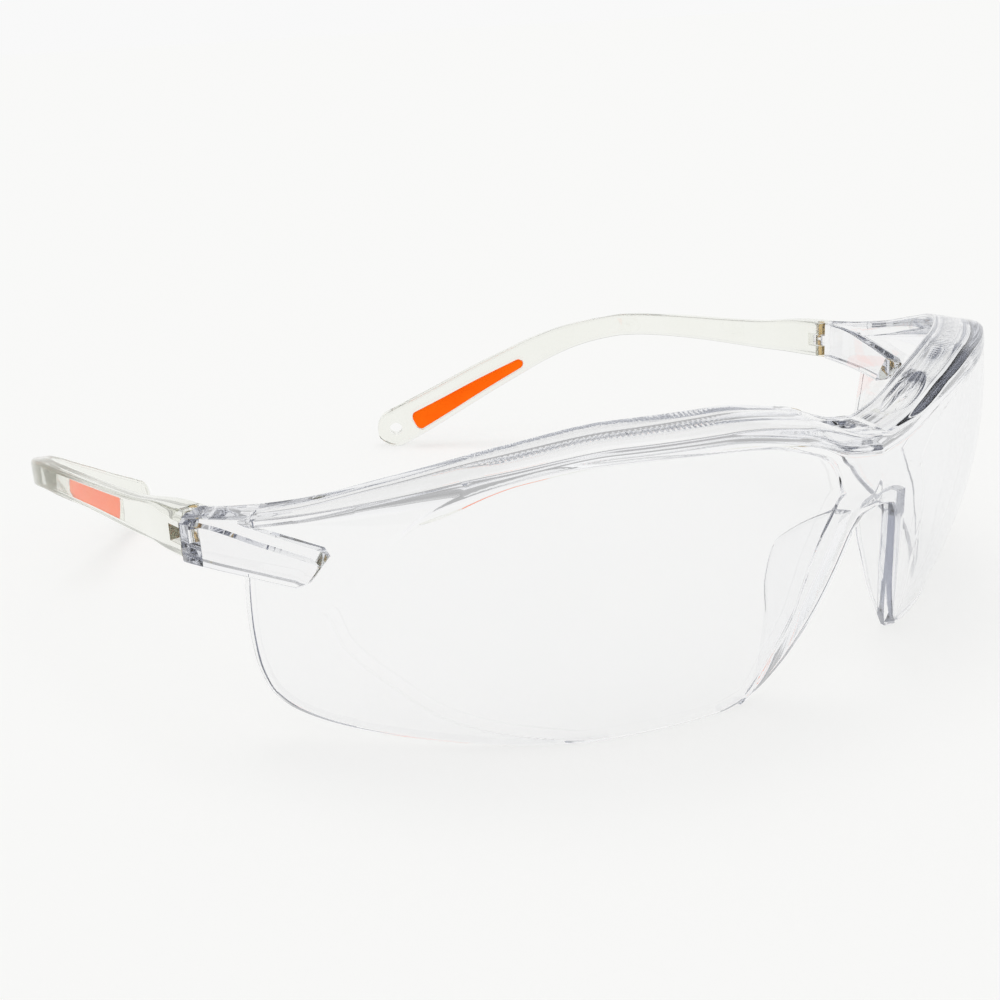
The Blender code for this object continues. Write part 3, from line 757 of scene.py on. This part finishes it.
def make_pieces():
    front_look = clear_plastic("front_clear_plastic", (1.0, 1.0, 1.0), (0.992, 0.993, 0.996),
                               (0.74, 0.75, 0.77), (0.4, 0.43, 0.53))
    temple_look = clear_plastic("temple_clear_plastic", (0.975, 0.98, 0.95),
                                (0.95, 0.955, 0.91), (0.74, 0.74, 0.7), (0.42, 0.43, 0.28))
    rubber = orange_rubber()
    brass = turned_brass()
    dress(front_moulding(), front_look, "front", "front_shield")
    temple = temple_moulding()
    pad = insert("tip_insert_left", 0.0, INSERT_DEPTH, INSERT_PROUD)
    sides = (("left", temple, pad),
             ("right", mirrored(temple, "temple_moulding_right"),
              mirrored(pad, "tip_insert_right")))
    for side, moulding, soft in sides:
        arm = f"temple_{side}_arm"
        dress(moulding, temple_look, arm, f"temple_{side}")
        dress(soft, rubber, arm, f"tip_pad_{side}")
        for place in ("upper", "lower"):
            node = f"hinge_pin_{place}_{side}"
            dress(hinge_stub(node), brass, arm, node)


# ---------------------------------------------------------------- studio

def make_floor():
    """White table that glows a little, which keeps the shadows faint."""
    bpy.ops.mesh.primitive_circle_add(vertices=96, radius=FLOOR_RADIUS, fill_type="NGON")
    floor = bpy.context.object
    floor.name = "studio_floor"
    material, tree, output = new_material("studio_white")
    body = add(tree, "ShaderNodeBsdfPrincipled", Roughness=1.0)
    body.inputs["Base Color"].default_value = (*grey(FLOOR_PAINT), 1.0)
    body.inputs["Specular IOR Level"].default_value = 0.0
    body.inputs["Emission Color"].default_value = (1.0, 1.0, 0.985, 1.0)
    body.inputs["Emission Strength"].default_value = FLOOR_GLOW
    tree.links.new(body.outputs[0], output.inputs["Surface"])
    floor.data.materials.append(material)


def make_light():
    """White horizon, a greyer band above it and a broad soft light overhead."""
    world = bpy.data.worlds.new("studio")
    bpy.context.scene.world = world
    world.use_nodes = True
    tree = world.node_tree
    tree.nodes.clear()
    output = add(tree, "ShaderNodeOutputWorld")
    glow = add(tree, "ShaderNodeBackground", Strength=1.0)
    split = add(tree, "ShaderNodeSeparateXYZ")
    place = add(tree, "ShaderNodeTexCoord")
    tree.links.new(place.outputs["Generated"], split.inputs[0])
    shades = [(height, grey(value)) for height, value in SURROUNDINGS]
    tree.links.new(ramp(tree, split.outputs["Z"], *shades), glow.inputs["Color"])
    tree.links.new(glow.outputs[0], output.inputs["Surface"])
    world.cycles.sampling_method = "NONE"
    sun = bpy.data.lights.new("overhead", "SUN")
    sun.cycles.use_multiple_importance_sampling = False
    sun.energy = LAMP_STRENGTH
    sun.angle = LAMP_SPREAD
    lamp = bpy.data.objects.new("overhead", sun)
    lamp.rotation_euler = LAMP_TILT
    lamp.visible_glossy = False
    lamp.visible_transmission = False
    bpy.context.scene.collection.objects.link(lamp)


def make_camera():
    """Camera on a line of sight through VIEW_AIM, rolled a little."""
    back = Vector((math.sin(VIEW_AZIMUTH) * math.cos(VIEW_ELEVATION),
                   -math.cos(VIEW_AZIMUTH) * math.cos(VIEW_ELEVATION),
                   math.sin(VIEW_ELEVATION)))
    right = Vector((0, 0, 1)).cross(back).normalized()
    up = back.cross(right)
    level = right * math.cos(VIEW_ROLL) + up * math.sin(VIEW_ROLL)
    upright = up * math.cos(VIEW_ROLL) - right * math.sin(VIEW_ROLL)
    data = bpy.data.cameras.new("camera")
    data.lens = VIEW_LENS
    data.clip_start = 0.01
    camera = bpy.data.objects.new("camera", data)
    turn = Matrix((level, upright, back)).transposed().to_4x4()
    camera.matrix_world = Matrix.Translation(VIEW_AIM + back * VIEW_DISTANCE) @ turn
    bpy.context.scene.collection.objects.link(camera)
    bpy.context.scene.camera = camera


def set_depths():
    """Enough bounces for light that crosses many clear walls, and plain white balance."""
    scene = bpy.context.scene
    scene.cycles.max_bounces = LIGHT_BOUNCES
    scene.cycles.glossy_bounces = LIGHT_BOUNCES
    scene.cycles.transmission_bounces = LIGHT_BOUNCES
    scene.cycles.transparent_max_bounces = CLEAR_LAYERS
    scene.view_settings.view_transform = "Standard"


make_pieces()
make_floor()
make_light()
make_camera()
set_depths()
